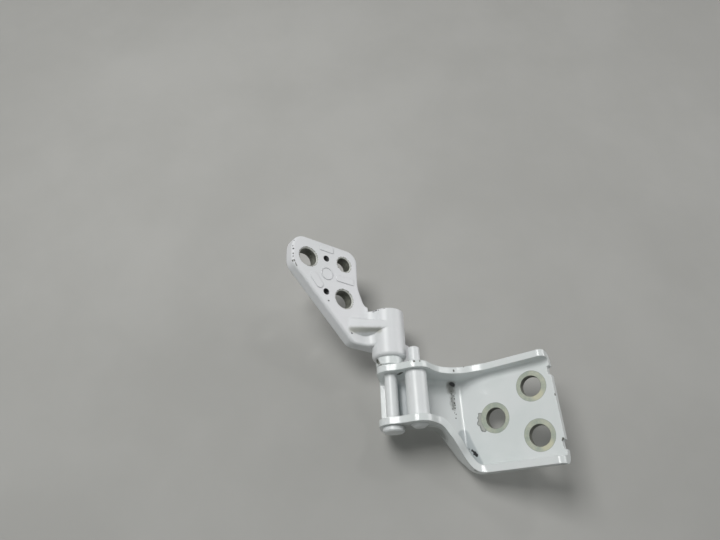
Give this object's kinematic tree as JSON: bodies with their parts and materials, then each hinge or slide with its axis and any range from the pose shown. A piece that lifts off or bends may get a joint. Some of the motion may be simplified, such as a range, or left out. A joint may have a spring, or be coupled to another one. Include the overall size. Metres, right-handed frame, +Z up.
{
  "type": "car door hinge",
  "caption": "White-painted car door hinge: a pressed steel pillar bracket with a flared channel carries a forged door leaf on a riveted pin; a stop pin limits the swing.",
  "frame": {"origin": "centre of the pillar bracket's bolt circle, on its mounting face", "axes": "+Y out of the mounting face into the pillar, +Z up the hinge axis from the bracket's ears towards the leaf, +X along the base plate away from the hinge axis"},
  "size_m": [0.1238, 0.1223, 0.1541],
  "materials": {
    "bracket_paint": "gloss",
    "hinge_pin_paint": "gloss",
    "stop_pin_paint": "gloss",
    "washer_zinc": "satin",
    "leaf_paint": "gloss",
    "lower_bush_paint": "satin",
    "upper_bush_zinc": "satin"
  },
  "bodies": {
    "pillar_side": {"pillar_bracket": "bracket_paint", "hinge_pin": "hinge_pin_paint", "stop_pin": "stop_pin_paint", "end_washer": "washer_zinc"},
    "door_side": {"door_leaf": "leaf_paint", "lower_bush": "lower_bush_paint", "upper_bush": "upper_bush_zinc"}
  },
  "joints": [
    {"name": "door_swing", "type": "hinge", "parent": "pillar_side", "child": "door_side", "pos_m": [-0.067, -0.052, 0], "axis": [0, 0, 1], "range_deg": [-39, 30]}
  ]
}
